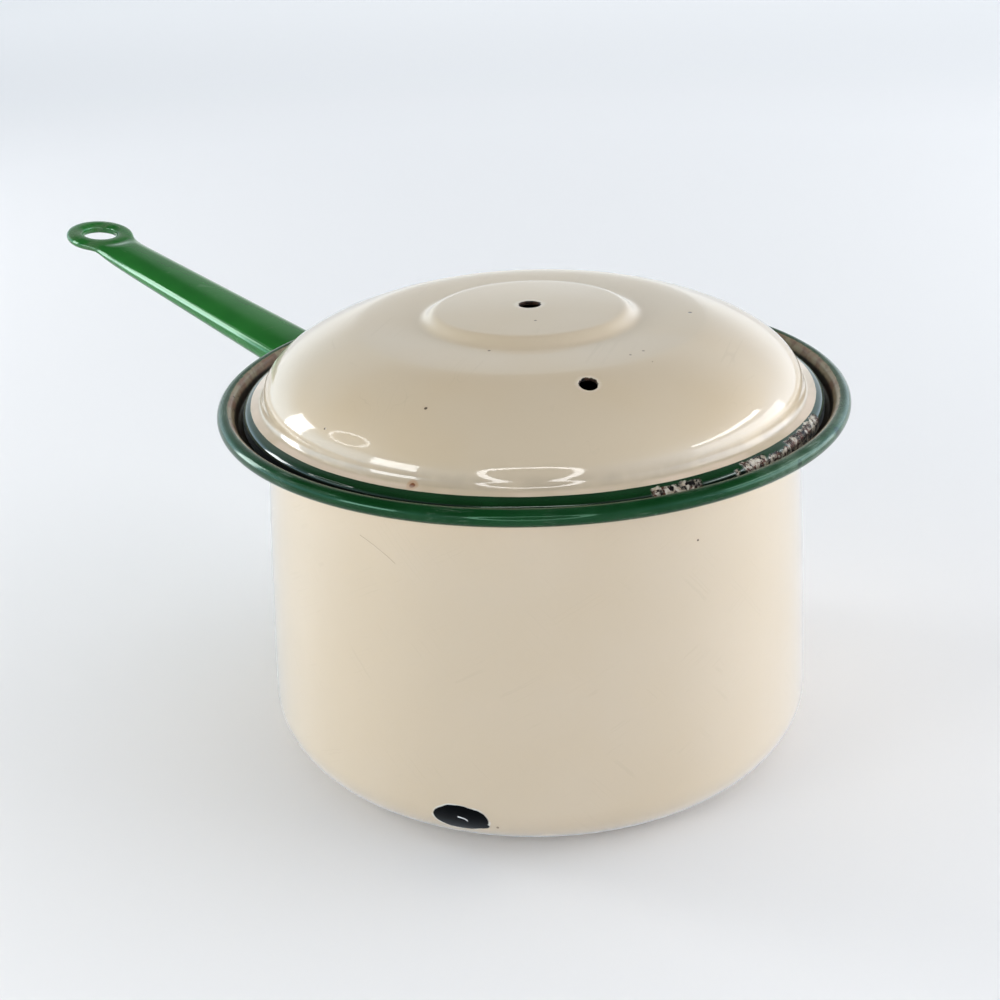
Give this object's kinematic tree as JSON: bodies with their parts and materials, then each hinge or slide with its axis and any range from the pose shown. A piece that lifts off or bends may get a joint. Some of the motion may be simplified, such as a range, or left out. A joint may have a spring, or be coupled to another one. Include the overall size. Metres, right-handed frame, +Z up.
{
  "type": "saucepan",
  "caption": "Enamelled steel saucepan: tapering pan with a rolled rim, a folded handle with a hanging eye, and a loose drop-in lid whose knob is missing.",
  "frame": {"origin": "centre of the pan's flat base, on the surface that it stands on", "axes": "+Z up along the pan's axis, +X from the axis towards the handle's hanging eye, +Y to the left of it"},
  "size_m": [0.3485, 0.2, 0.1432],
  "materials": {
    "cream_enamel": "glossy cream vitreous enamel on steel, with a green rim",
    "lid_enamel": "glossy cream vitreous enamel on steel, with a chipped green edge",
    "green_enamel": "glossy dark green vitreous enamel on steel"
  },
  "bodies": {
    "pan": {"pan_shell": "cream_enamel", "handle": "green_enamel"},
    "lid": {"lid_shell": "lid_enamel"}
  },
  "joints": [
    {"name": "lid_lift", "type": "slide", "parent": "pan", "child": "lid", "axis": [0, 0, 1], "range_m": [0, 0.06]}
  ]
}
